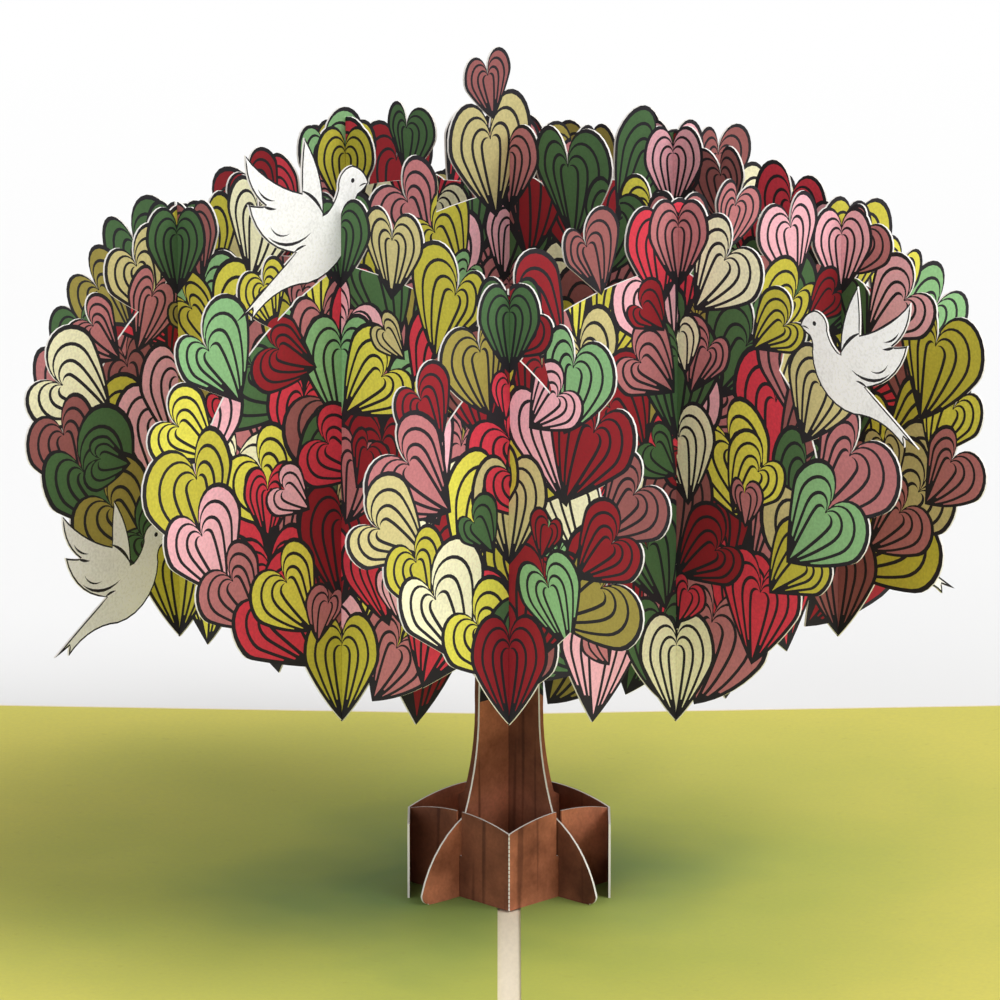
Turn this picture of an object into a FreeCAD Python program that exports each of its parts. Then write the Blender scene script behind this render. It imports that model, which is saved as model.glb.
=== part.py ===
import FreeCAD, Part

import math
import os

# A pop up card lying open, in millimetres. X runs across the two panels, Y along the fold
# and away from the reader, Z up. The origin is under the middle of the fold, on the table.

# Driving sizes of the folded card
COVER_SHEET = 0.4
PAGE_SHEET = 0.3
PANEL_WIDTH = 127.0
FOLD_LENGTH = 178.0
SPINE_WIDTH = 3.2
PANEL_RISE = 1.0
PAGE_MARGIN = 1.6

# Driving sizes of the slotted tree
TREE_SHEET = 0.3
SLOT_PLAY = 0.2
SLICE_ANGLE = 45.0
SLICE_SPACING = 32.2
CANOPY_HEIGHT = 66.0
CANOPY_RADIUS = 62.0
DOME_RISE = 36.0
BOWL_DROP = 33.0
TRUNK_SLOT_TOP = 56.0

# Trunk and buttress profile, measured out from the tree's axis and up from the pages
TRUNK_WAIST_FRONT = 5.9
TRUNK_WAIST_BACK = 6.6
TRUNK_WAIST_HEIGHT = 26.0
TRUNK_TOP_INSET = 0.5
TRUNK_TOP_HEIGHT = 46.0
FLARE_REACH = 8.7
FLARE_HEIGHT = 11.5
BUTTRESS_REACH = 17.1
BUTTRESS_NOSE_HEIGHT = 1.6
BUTTRESS_BELLY = 1.4
FLARE_HOLLOW = 0.7
NOSE_ROUNDING = 1.3

# Collar round the foot of the trunk
COLLAR_REACH = 13.6
COLLAR_HEIGHT = 10.9
COLLAR_ARCH = 1.4
COLLAR_FLAP = 8.1
COLLAR_SLOT_HEIGHT = 6.0

# Feet that pass through the pages
TAB_WIDTH = 3.5
TAB_PLAY = 0.2
BUTTRESS_TAB_REACH = 13.2
COLLAR_TAB_SHARE = 0.78

# A heart leaf of width one, tip at its origin
CLEFT_HEIGHT = 0.73
LOBE_RADIUS = 0.25
LOBE_STRETCH = 1.4
LOBE_END_ANGLE = -30.0
ARC_FACETS = 3

# Hearts round the rim of a slice
RIM_COUNT = 25
RIM_SIZE_LOW = 16.5
RIM_SIZE_HIGH = 12.0
RIM_SIZE_SPREAD = 7.0
RIM_LEAN = 36.0
RIM_LEAN_SPREAD = 50.0
RIM_STEP_OUT = 0.3
RIM_SMALL_OUT = 0.5
RIM_TUCK = 3.5
RIM_SKEW = 0.45
CROSSING_TOP_SIZE = 12.0
CROSSING_BOTTOM_SIZE = 15.0

# Steps of an even, repeatable scatter
SIZE_STEP = 0.618034
LEAN_STEP = 0.754878
REACH_STEP = 0.569840

# A dove of height one, facing right: from its beak over the back, as end and middle points
# of arcs in turn
DOVE_SPAN = 1.06
DOVE_OUTLINE = [
    (1.00, 0.66), (0.95, 0.74), (0.88, 0.78), (0.80, 0.75), (0.77, 0.66), (0.73, 0.58),
    (0.66, 0.52), (0.63, 0.77), (0.52, 1.00), (0.50, 0.84), (0.50, 0.68), (0.28, 0.79),
    (0.08, 0.97), (0.11, 0.80), (0.23, 0.65), (0.17, 0.66), (0.10, 0.68), (0.22, 0.46),
    (0.45, 0.34), (0.24, 0.19), (0.00, 0.01), (0.07, 0.04), (0.13, 0.07), (0.12, 0.03),
    (0.12, 0.00), (0.31, 0.12), (0.54, 0.14), (0.81, 0.27), (0.90, 0.50), (0.90, 0.56),
    (0.92, 0.60), (0.96, 0.62), (1.00, 0.66),
]
DOVE_MIDDLE = 0.5

PAGE_TOP = COVER_SHEET + PAGE_SHEET
HALF_SPINE = SPINE_WIDTH / 2
HALF_FOLD = FOLD_LENGTH / 2
HALF_SHEET = TREE_SHEET / 2
SLOT_WIDTH = TREE_SHEET + SLOT_PLAY
ACROSS = 4 * CANOPY_RADIUS
DEPTH = CANOPY_RADIUS

# The slices by name: turn of the slice, then its place across, in spacings towards the front
SLICES = {
    "slice_a_front": (SLICE_ANGLE, 1),
    "slice_a_middle": (SLICE_ANGLE, 0),
    "slice_a_back": (SLICE_ANGLE, -1),
    "slice_b_front": (-SLICE_ANGLE, 1),
    "slice_b_middle": (-SLICE_ANGLE, 0),
    "slice_b_back": (-SLICE_ANGLE, -1),
}

# The doves by slice: turn round the core in degrees, step out from its edge, the way the
# dove faces, 1 for right and -1 for left, and its height from tail to wing tip
DOVES = {
    "slice_a_middle": [(125.3, 6.3, 1, 23.5)],
    "slice_b_middle": [(25.2, 10.9, -1, 20.5)],
    "slice_a_back": [(217.0, 3.3, 1, 20.5)],
    "slice_a_front": [(-35.9, 2.5, -1, 20.5)],
}

# Hearts that stand out of the crown: along the slice, rise over the core's top, width, lean
CROWN = {
    "slice_a_middle": [(-3.5, 2.0, 16.0, -6.0), (-4.0, 12.0, 9.0, -10.0)],
}


def scatter(index, step):
    """A repeatable number between minus a half and a half."""
    return (index * step) % 1.0 - 0.5


def turned(point, angle, shift):
    """A flat point turned clockwise by an angle in degrees, then moved."""
    turn = math.radians(angle)
    x = point[0] * math.cos(turn) + point[1] * math.sin(turn) + shift[0]
    z = point[1] * math.cos(turn) - point[0] * math.sin(turn) + shift[1]
    return FreeCAD.Vector(x, 0, z)


def arc_face(points):
    """A face in the XZ plane round arcs given as end and middle points in turn, cut in facets."""
    outline = points[:1]
    for i in range(0, len(points) - 2, 2):
        arc = Part.Arc(points[i], points[i + 1], points[i + 2])
        outline += arc.toShape().discretize(ARC_FACETS + 1)[1:]
    outline[-1] = outline[0]
    return Part.Face(Part.makePolygon(outline))


def lobe_points(width, radius_share):
    """The right half of a heart from tip to cleft: ends and middles of its side and lobe."""
    radius = radius_share * width
    cleft = CLEFT_HEIGHT * width
    end = math.radians(LOBE_END_ANGLE)
    joint_x = radius + radius * math.cos(end)
    joint_z = cleft + radius * math.sin(end)
    length = math.hypot(joint_x, joint_z)
    half_turn = math.asin((joint_x * math.cos(end) + joint_z * math.sin(end)) / length)
    bulge = length / 2 * math.tan(half_turn / 2)
    side_x = joint_x / 2 + bulge * joint_z / length
    side_z = joint_z / 2 - bulge * joint_x / length
    outline = [(0, 0), (side_x, side_z), (joint_x, joint_z)]
    for share in (0.25, 0.5, 0.75, 1):
        turn = end + share * (math.pi - end)
        rise = max(math.sin(turn), 0) * LOBE_STRETCH * LOBE_RADIUS * width
        drop = min(math.sin(turn), 0) * radius
        outline.append((radius + radius * math.cos(turn), cleft + rise + drop))
    return outline


def heart_face(middle, width, lean, skew):
    """A heart leaf about its middle, leaning clockwise, with lobes that differ by the skew."""
    right = lobe_points(width, LOBE_RADIUS * (1 + skew))
    left = [(-x, z) for x, z in lobe_points(width, LOBE_RADIUS * (1 - skew))]
    outline = right + left[-2::-1]
    half_height = width * (CLEFT_HEIGHT + LOBE_RADIUS * LOBE_STRETCH) / 2
    return arc_face([turned((x, z - half_height), lean, middle) for x, z in outline])


def dove_face(middle, facing, size):
    """A dove of a size about its middle, facing right or left."""
    outline = []
    for x, z in DOVE_OUTLINE:
        place = ((x - DOVE_MIDDLE) * DOVE_SPAN * size * facing, (z - DOVE_MIDDLE) * size)
        outline.append(turned(place, 0, middle))
    return arc_face(outline)


def canopy_reach(offset):
    """Half the width of the canopy's core on a slice this far from the axis."""
    return math.sqrt(CANOPY_RADIUS ** 2 - offset ** 2)


def core_point(offset, turn):
    """A point on the core's edge at a turn in radians, from its right end over the top."""
    reach = canopy_reach(offset)
    rise = DOME_RISE if math.sin(turn) > 0 else BOWL_DROP
    return (reach * math.cos(turn), CANOPY_HEIGHT + reach * rise / CANOPY_RADIUS * math.sin(turn))


def core_face(offset):
    """The canopy's core on a slice: half an ellipse up and half an ellipse down."""
    reach = canopy_reach(offset)
    middle = FreeCAD.Vector(0, 0, CANOPY_HEIGHT)
    right = middle + FreeCAD.Vector(reach, 0, 0)
    left = middle - FreeCAD.Vector(reach, 0, 0)
    edges = []
    for start, drop in ((right, -DOME_RISE), (left, BOWL_DROP)):
        low = middle - FreeCAD.Vector(0, 0, drop * reach / CANOPY_RADIUS)
        ellipse = Part.Ellipse(start, low, middle)
        edges.append(Part.ArcOfEllipse(ellipse, 0, math.pi).toShape())
    return Part.Face(Part.Wire(edges))


def crossing_heights(offset, along):
    """Bottom and top of the core where a slice crosses another."""
    share = math.sqrt(1 - (offset ** 2 + along ** 2) / CANOPY_RADIUS ** 2)
    return CANOPY_HEIGHT - BOWL_DROP * share, CANOPY_HEIGHT + DOME_RISE * share


def rim_point(offset, turn, step):
    """A place at a turn in radians round a slice's core, a step out from its edge."""
    x, z = core_point(offset, turn)
    return (x + step * math.cos(turn), z + step * math.sin(turn))


def crown_hearts(offset, name):
    """The hearts that stand out of a slice's crown."""
    hearts = []
    for along, rise, size, lean in CROWN.get(name, []):
        top = core_point(offset, math.pi / 2)[1]
        hearts.append(heart_face((along, top + rise), size, lean, 0))
    return hearts


def doves(offset, name):
    """The doves on a slice."""
    found = []
    for turn, step, facing, size in DOVES.get(name, []):
        found.append(dove_face(rim_point(offset, math.radians(turn), step), facing, size))
    return found


def rim_hearts(offset, family):
    """The hearts that stick out round a slice's core, evenly scattered."""
    hearts = []
    for i in range(RIM_COUNT):
        turn = 2 * math.pi * (i + 0.5) / RIM_COUNT
        index = i + RIM_COUNT * family
        share = (math.sin(turn) + 1) / 2
        size = RIM_SIZE_LOW + (RIM_SIZE_HIGH - RIM_SIZE_LOW) * share
        growth = RIM_SIZE_SPREAD * scatter(index, SIZE_STEP)
        size += growth
        lean = RIM_LEAN * math.cos(turn) + RIM_LEAN_SPREAD * scatter(index, LEAN_STEP)
        step = RIM_STEP_OUT * size * scatter(index, REACH_STEP) - RIM_SMALL_OUT * growth
        if math.sin(turn) < 0:
            step -= RIM_TUCK
        middle = rim_point(offset, turn, step)
        hearts.append(heart_face(middle, size, lean, RIM_SKEW * scatter(index, REACH_STEP)))
    return hearts


def crossing_hearts(offset):
    """The upright hearts at the top and bottom of each crossing, shared by both slices."""
    hearts = []
    for place in (-1, 0, 1):
        along = place * SLICE_SPACING
        bottom, top = crossing_heights(offset, along)
        hearts.append(heart_face((along, top), CROSSING_TOP_SIZE, 0, 0))
        hearts.append(heart_face((along, bottom), CROSSING_BOTTOM_SIZE, 0, 0))
    return hearts


def bulged(start, end, bulge):
    """The middle of an arc that bulges to the left of the way from start to end."""
    across = end - start
    side = FreeCAD.Vector(-across.z, 0, across.x).normalize()
    return (start + end) / 2 + side * bulge


def trunk_half(side, waist):
    """One side of the trunk with its buttress, from the top down to the page."""
    corner = NOSE_ROUNDING * (1 - math.sqrt(0.5))
    nose_z = BUTTRESS_NOSE_HEIGHT
    top = FreeCAD.Vector(side * (waist - TRUNK_TOP_INSET), 0, TRUNK_TOP_HEIGHT)
    neck = FreeCAD.Vector(side * waist, 0, TRUNK_WAIST_HEIGHT)
    flare = FreeCAD.Vector(side * FLARE_REACH, 0, FLARE_HEIGHT)
    nose = FreeCAD.Vector(side * BUTTRESS_REACH, 0, nose_z)
    heel = FreeCAD.Vector(side * (BUTTRESS_REACH - NOSE_ROUNDING), 0, nose_z - NOSE_ROUNDING)
    round_x = side * (BUTTRESS_REACH - corner)
    rounding = FreeCAD.Vector(round_x, 0, nose_z - NOSE_ROUNDING + corner)
    foot = FreeCAD.Vector(heel.x, 0, -PAGE_TOP)
    return [
        Part.LineSegment(top, neck).toShape(),
        Part.Arc(neck, bulged(neck, flare, -side * FLARE_HOLLOW), flare).toShape(),
        Part.Arc(flare, bulged(flare, nose, side * BUTTRESS_BELLY), nose).toShape(),
        Part.Arc(nose, rounding, heel).toShape(),
        Part.LineSegment(heel, foot).toShape(),
    ]


def trunk_face(angle):
    """The trunk's outline, wider on the half that points away from the reader."""
    back = 1 if angle > 0 else -1
    left = trunk_half(-1, TRUNK_WAIST_BACK if back < 0 else TRUNK_WAIST_FRONT)
    right = trunk_half(1, TRUNK_WAIST_BACK if back > 0 else TRUNK_WAIST_FRONT)
    across = Part.LineSegment(left[0].Vertexes[0].Point, right[0].Vertexes[0].Point)
    under = Part.LineSegment(left[-1].Vertexes[1].Point, right[-1].Vertexes[1].Point)
    edges = Part.sortEdges(left + right + [across.toShape(), under.toShape()])[0]
    return Part.Face(Part.Wire(edges))


def slot_box(along, low, high):
    """The space of a slot in a slice, from one height to another."""
    corner = FreeCAD.Vector(along - SLOT_WIDTH / 2, -TREE_SHEET, low)
    return Part.makeBox(SLOT_WIDTH, 2 * TREE_SHEET, high - low, corner)


def panel_point(side, reach, lift):
    """A point of a risen panel in the XZ plane, from its fold out and off its underside."""
    rise = math.radians(PANEL_RISE)
    x = HALF_SPINE + reach * math.cos(rise) - lift * math.sin(rise)
    return FreeCAD.Vector(side * x, 0, reach * math.sin(rise) + lift * math.cos(rise))


def swept(points, start, end):
    """A prism of a section in the XZ plane, along Y."""
    shifted = [point + FreeCAD.Vector(0, start, 0) for point in points]
    face = Part.Face(Part.makePolygon(shifted + shifted[:1]))
    return face.extrude(FreeCAD.Vector(0, end - start, 0))


def below_panels(lift):
    """Everything under the open card's upper side at a lift off its underside."""
    outer = PANEL_WIDTH
    section = [panel_point(-1, outer, lift), panel_point(-1, 0, lift), panel_point(1, 0, lift)]
    section += [panel_point(1, outer, lift), FreeCAD.Vector(outer, 0, -DEPTH)]
    section.append(FreeCAD.Vector(-outer, 0, -DEPTH))
    return swept(section, -HALF_FOLD, HALF_FOLD)


def tab_space(place, angle, play):
    """An upright box about a tab's place on the card, long along the angle."""
    width = TAB_WIDTH + play
    thick = TREE_SHEET + play
    box = Part.makeBox(width, thick, COLLAR_HEIGHT)
    box.translate(FreeCAD.Vector(-width / 2, -thick / 2, -COLLAR_HEIGHT / 2))
    box.rotate(FreeCAD.Vector(0, 0, 0), FreeCAD.Vector(0, 0, 1), angle)
    box.translate(FreeCAD.Vector(place[0], place[1], 0))
    return box


def seated(shape, tabs):
    """A standing piece cut off at the pages, with tabs that reach the cover through them."""
    stood = shape.cut(below_panels(PAGE_TOP))
    low = below_panels(PAGE_TOP).cut(below_panels(COVER_SHEET))
    feet = [tab_space(place, angle, 0).common(low) for place, angle in tabs]
    return stood.fuse(feet).removeSplitter()


def buttress_tabs(angle):
    """Places and angles of the two tabs under a trunk slice."""
    turn = math.radians(angle)
    reaches = (-BUTTRESS_TAB_REACH, BUTTRESS_TAB_REACH)
    return [((reach * math.cos(turn), reach * math.sin(turn)), angle) for reach in reaches]


def slice_piece(name):
    """One slice of the tree, slotted where the slices of the other way cross it."""
    angle, place = SLICES[name]
    offset = place * SLICE_SPACING
    family = list(SLICES).index(name)
    shapes = rim_hearts(offset, family) + crossing_hearts(offset)
    shapes += crown_hearts(offset, name) + doves(offset, name)
    if place == 0:
        shapes.append(trunk_face(angle))
    layers = [face.extrude(FreeCAD.Vector(0, TREE_SHEET, 0)) for face in shapes]
    core = core_face(offset).extrude(FreeCAD.Vector(0, TREE_SHEET, 0))
    sheet = core.multiFuse(layers).removeSplitter()
    sheet.translate(FreeCAD.Vector(0, -HALF_SHEET, 0))
    for other in (-1, 0, 1):
        along = other * SLICE_SPACING
        middle = sum(crossing_heights(offset, along)) / 2
        if place == 0 and other == 0:
            middle = TRUNK_SLOT_TOP
        if angle > 0:
            sheet = sheet.cut(slot_box(along, -DEPTH, middle))
        else:
            sheet = sheet.cut(slot_box(along, middle, ACROSS))
    if place == 0:
        for side in (-1, 1):
            front = (side < 0) == (angle > 0)
            wall = side * abs(collar_corners(front)[0][1]) * math.sqrt(0.5)
            low, high = COLLAR_SLOT_HEIGHT, COLLAR_HEIGHT + COLLAR_ARCH
            if front:
                low, high = -DEPTH, COLLAR_SLOT_HEIGHT
            sheet = sheet.cut(slot_box(wall, low, high))
    sheet.translate(FreeCAD.Vector(0, -offset, PAGE_TOP))
    sheet.rotate(FreeCAD.Vector(0, 0, 0), FreeCAD.Vector(0, 0, 1), angle)
    return seated(sheet, buttress_tabs(angle)) if place == 0 else sheet


def wall_piece(start, end, height, arch):
    """An upright sheet between two places on the card, with a top that arches up."""
    run = FreeCAD.Vector(end[0] - start[0], end[1] - start[1], 0)
    length = run.Length
    low = -COLLAR_HEIGHT / 2
    corners = [(-HALF_SHEET, low), (-HALF_SHEET, height), (length, height), (length, low)]
    points = [FreeCAD.Vector(x, -HALF_SHEET, z) for x, z in corners]
    edges = [Part.LineSegment(points[i], points[i - 1]).toShape() for i in (0, 1, 3)]
    crown = FreeCAD.Vector(length / 2, -HALF_SHEET, height + arch)
    if arch:
        edges.append(Part.Arc(points[1], crown, points[2]).toShape())
    else:
        edges.append(Part.LineSegment(points[1], points[2]).toShape())
    face = Part.Face(Part.Wire(Part.sortEdges(edges)[0]))
    wall = face.extrude(FreeCAD.Vector(0, TREE_SHEET, 0))
    angle = math.degrees(math.atan2(run.y, run.x))
    wall.rotate(FreeCAD.Vector(0, 0, 0), FreeCAD.Vector(0, 0, 1), angle)
    wall.translate(FreeCAD.Vector(start[0], start[1], PAGE_TOP))
    return wall


def collar_corners(front):
    """Fold and corner of the left half of a collar strip, and the back strip's flap end."""
    if front:
        return (0, -COLLAR_REACH), (-COLLAR_REACH, 0)
    fold = COLLAR_REACH + 2 * TREE_SHEET
    side = COLLAR_REACH + TREE_SHEET
    return (0, fold), (-side, fold - side), (-side, -COLLAR_FLAP)


def collar_piece(front):
    """Half of the collar: two walls folded at the middle, with flaps on the back strip's ends."""
    corners = collar_corners(front)
    half = corners[0][1] / 2
    low = COLLAR_SLOT_HEIGHT + PAGE_TOP
    if not front:
        low -= COLLAR_HEIGHT
    walls = []
    slots = []
    for side in (-1, 1):
        place = [(side * -x, y) for x, y in corners]
        walls.append(wall_piece(place[0], place[1], COLLAR_HEIGHT, COLLAR_ARCH))
        if not front:
            walls.append(wall_piece(place[1], place[2], COLLAR_HEIGHT, 0))
        slope = math.degrees(math.atan2(place[1][1] - place[0][1], place[1][0] - place[0][0]))
        slot = Part.makeBox(SLOT_WIDTH, 2 * SLOT_WIDTH, COLLAR_HEIGHT)
        slot.translate(FreeCAD.Vector(-SLOT_WIDTH / 2, -SLOT_WIDTH, low))
        slot.rotate(FreeCAD.Vector(0, 0, 0), FreeCAD.Vector(0, 0, 1), slope)
        slot.translate(FreeCAD.Vector(side * half, half, 0))
        slots.append(slot)
    strip = walls[0].fuse(walls[1:]).removeSplitter()
    return seated(strip.cut(slots), collar_tabs(front))


def collar_tabs(front):
    """Places and angles of a collar strip's tabs, for the slots in the pages."""
    fold, corner = collar_corners(front)[:2]
    tabs = []
    for side in (-1, 1):
        start, stop = (side * -fold[0], fold[1]), (side * -corner[0], corner[1])
        tab = [start[i] + COLLAR_TAB_SHARE * (stop[i] - start[i]) for i in (0, 1)]
        slope = math.degrees(math.atan2(stop[1] - start[1], stop[0] - start[0]))
        tabs.append((tab, slope))
    return tabs


def cover_piece():
    """The folded sheet: a flat spine strip with a risen panel on each side."""
    section = [panel_point(-1, PANEL_WIDTH, 0), panel_point(-1, 0, 0), panel_point(1, 0, 0)]
    section += [panel_point(1, PANEL_WIDTH, lift) for lift in (0, COVER_SHEET)]
    section += [panel_point(1, 0, COVER_SHEET), panel_point(-1, 0, COVER_SHEET)]
    section.append(panel_point(-1, PANEL_WIDTH, COVER_SHEET))
    return swept(section, -HALF_FOLD, HALF_FOLD)


def page_piece(side):
    """The printed page glued on one panel, with slots for the tree's tabs."""
    outer = PANEL_WIDTH - PAGE_MARGIN
    places = [(0, COVER_SHEET), (outer, COVER_SHEET), (outer, PAGE_TOP), (0, PAGE_TOP)]
    section = [panel_point(side, reach, lift) for reach, lift in places]
    page = swept(section, PAGE_MARGIN - HALF_FOLD, HALF_FOLD - PAGE_MARGIN)
    tabs = collar_tabs(True) + collar_tabs(False)
    tabs += buttress_tabs(SLICE_ANGLE) + buttress_tabs(-SLICE_ANGLE)
    return page.cut([tab_space(place, angle, TAB_PLAY) for place, angle in tabs])


pieces = {
    "card_cover": cover_piece(),
    "left_page": page_piece(-1),
    "right_page": page_piece(1),
    "collar_front": collar_piece(True),
    "collar_back": collar_piece(False),
}
for name in SLICES:
    pieces[name] = slice_piece(name)

os.makedirs("parts", exist_ok=True)
for name, shape in pieces.items():
    print(name, len(shape.Solids), "solids", round(shape.Volume, 3), "mm3", shape.isValid())
    shape.exportStep("parts/" + name + ".step")
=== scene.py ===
import math

import bmesh
import bpy
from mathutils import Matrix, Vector
from mathutils.geometry import delaunay_2d_cdt


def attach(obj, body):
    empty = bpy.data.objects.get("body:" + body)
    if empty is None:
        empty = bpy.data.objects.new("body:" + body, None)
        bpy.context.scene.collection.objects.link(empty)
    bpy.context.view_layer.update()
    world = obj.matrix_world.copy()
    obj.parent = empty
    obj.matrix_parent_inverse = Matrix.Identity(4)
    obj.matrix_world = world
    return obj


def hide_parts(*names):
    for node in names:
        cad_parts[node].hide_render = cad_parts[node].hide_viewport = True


# A pop up card lying open. The slotted slices of its tree are drawn flat, in millimetres
# along the slice and up from the pages, and then stood up in the card's frame in metres.

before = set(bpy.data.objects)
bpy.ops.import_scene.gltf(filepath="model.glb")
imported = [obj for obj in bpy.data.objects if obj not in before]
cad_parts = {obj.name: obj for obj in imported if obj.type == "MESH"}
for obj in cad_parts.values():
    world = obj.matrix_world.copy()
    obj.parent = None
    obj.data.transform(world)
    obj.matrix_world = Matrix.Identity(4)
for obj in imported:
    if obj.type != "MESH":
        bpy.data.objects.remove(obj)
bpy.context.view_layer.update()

MM = 0.001

# Sizes of the card and the tree, as in the part
COVER_SHEET = 0.4
PAGE_SHEET = 0.3
PAGE_TOP = COVER_SHEET + PAGE_SHEET
HALF_SPINE = 1.6
PANEL_RISE = 1.0
TREE_SHEET = 0.3
HALF_SHEET = TREE_SHEET / 2
SLOT_WIDTH = 0.5
SLICE_ANGLE = 45.0
SLICE_SPACING = 32.2
CANOPY_HEIGHT = 66.0
CANOPY_RADIUS = 62.0
DOME_RISE = 36.0
BOWL_DROP = 33.0
TRUNK_SLOT_TOP = 56.0
TRUNK_WAIST_FRONT = 5.9
TRUNK_WAIST_BACK = 6.6
TRUNK_WAIST_HEIGHT = 26.0
TRUNK_TOP_INSET = 0.5
TRUNK_TOP_HEIGHT = 46.0
FLARE_REACH = 8.7
FLARE_HEIGHT = 11.5
BUTTRESS_REACH = 17.1
BUTTRESS_NOSE_HEIGHT = 1.6
BUTTRESS_BELLY = 1.4
FLARE_HOLLOW = 0.7
NOSE_ROUNDING = 1.3
COLLAR_REACH = 13.6
COLLAR_HEIGHT = 10.9
COLLAR_ARCH = 1.4
COLLAR_SLOT_HEIGHT = 6.0
TAB_WIDTH = 3.5
BUTTRESS_TAB_REACH = 13.2
CLEFT_HEIGHT = 0.73
LOBE_RADIUS = 0.25
LOBE_STRETCH = 1.4
LOBE_END_ANGLE = -30.0
RIM_COUNT = 25
RIM_SIZE_LOW = 16.5
RIM_SIZE_HIGH = 12.0
RIM_SIZE_SPREAD = 7.0
RIM_LEAN = 36.0
RIM_LEAN_SPREAD = 50.0
RIM_STEP_OUT = 0.3
RIM_SMALL_OUT = 0.5
RIM_TUCK = 3.5
RIM_SKEW = 0.45
CROSSING_TOP_SIZE = 12.0
CROSSING_BOTTOM_SIZE = 15.0
SIZE_STEP = 0.618034
LEAN_STEP = 0.754878
REACH_STEP = 0.569840
DOVE_SPAN = 1.06
DOVE_OUTLINE = [
    (1.00, 0.66), (0.95, 0.74), (0.88, 0.78), (0.80, 0.75), (0.77, 0.66), (0.73, 0.58),
    (0.66, 0.52), (0.63, 0.77), (0.52, 1.00), (0.50, 0.84), (0.50, 0.68), (0.28, 0.79),
    (0.08, 0.97), (0.11, 0.80), (0.23, 0.65), (0.17, 0.66), (0.10, 0.68), (0.22, 0.46),
    (0.45, 0.34), (0.24, 0.19), (0.00, 0.01), (0.07, 0.04), (0.13, 0.07), (0.12, 0.03),
    (0.12, 0.00), (0.31, 0.12), (0.54, 0.14), (0.81, 0.27), (0.90, 0.50), (0.90, 0.56),
    (0.92, 0.60), (0.96, 0.62), (1.00, 0.66),
]
DOVE_MIDDLE = 0.5
SLICES = {
    "slice_a_front": (SLICE_ANGLE, 1),
    "slice_a_middle": (SLICE_ANGLE, 0),
    "slice_a_back": (SLICE_ANGLE, -1),
    "slice_b_front": (-SLICE_ANGLE, 1),
    "slice_b_middle": (-SLICE_ANGLE, 0),
    "slice_b_back": (-SLICE_ANGLE, -1),
}
DOVES = {
    "slice_a_middle": [(125.3, 6.3, 1, 23.5)],
    "slice_b_middle": [(25.2, 10.9, -1, 20.5)],
    "slice_a_back": [(217.0, 3.3, 1, 20.5)],
    "slice_a_front": [(-35.9, 2.5, -1, 20.5)],
}
CROWN = {
    "slice_a_middle": [(-3.5, 2.0, 16.0, -6.0), (-4.0, 12.0, 9.0, -10.0)],
}

# How the print is drawn
ARC_PIECES = 7
NEST_SHARES = (0.0, 0.3, 0.56, 0.78)
NEST_SHARES_SMALL = (0.0, 0.36, 0.68)
SMALL_HEART = 8.5
CLEFT_DROP = 0.14
OUTLINE_STROKE = 0.27
OUTLINE_GROWTH = 0.027
INNER_STROKE = 0.22
INNER_GROWTH = 0.018
THINNEST_BAND = 0.06
CORE_POINTS = 96
# How far the drawn core stays inside the part's, and how far past it a whole heart may reach
CORE_TRIM = 3.0
EDGE_REACH = 0.8
DOVE_STROKE = 0.24
EYE_RADIUS = 0.35
TINY = 1e-5
WELD = 1e-3
TILE = 16.0
FLAT_ANGLE = 0.001

# Printed hearts inside the canopy: pitch, size, its spread, lean spread and the share of
# the core that they fill
FILLS = (
    (9.0, 16.5, 4.0, 90.0, 1.0),
    (16.0, 12.0, 4.0, 100.0, 0.92),
    (21.0, 7.4, 2.0, 110.0, 0.90),
)
FILL_ROW = 0.9
FILL_JITTER = 0.45
FILL_LEAN = 22.0
CROSSING_PITCH = 16.0
CROSSING_SIZE = 15.0
CROSSING_SPREAD = 4.0
COLOUR_STEP = 0.381966
ORDER_STEP = 0.414214

# Where the scatter of each kind of heart starts, and the steps between its groups
GRID_HALF = 12
FILL_FIRST_SHARE = 1000
FILL_GROUP = 200
COLUMN_FIRST = 400
COLUMN_GROUP = 31
COLUMN_SHIFT = 0.3
END_FIRST = 600
END_GROUP = 7
END_BOTTOM = 3

# Inks as they look in full light, in bytes
INKS = {
    "stroke": (40, 38, 42),
    "crimson": (222, 64, 80),
    "wine": (150, 36, 44),
    "mint": (143, 192, 134),
    "forest": (78, 112, 70),
    "lime": (205, 196, 72),
    "olive": (164, 150, 74),
    "yellow": (233, 226, 88),
    "ivory": (252, 248, 208),
    "sand": (212, 200, 140),
    "pink": (250, 188, 198),
    "rose": (196, 124, 126),
    "mauve": (158, 96, 94),
    "dove": (253, 253, 250),
}
CROWN_INKS = ("sand", "mauve")
HEART_INKS = (
    "wine", "forest", "lime", "rose", "crimson", "ivory", "mint", "olive", "pink",
    "sand", "crimson", "mauve", "yellow", "wine", "forest", "rose", "lime",
)


def scatter(index, step):
    """A repeatable number between minus a half and a half."""
    return (index * step) % 1.0 - 0.5


def turned(point, angle, shift):
    """A flat point turned clockwise by an angle in degrees, then moved."""
    turn = math.radians(angle)
    x = point[0] * math.cos(turn) + point[1] * math.sin(turn) + shift[0]
    z = point[1] * math.cos(turn) - point[0] * math.sin(turn) + shift[1]
    return (x, z)


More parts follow.
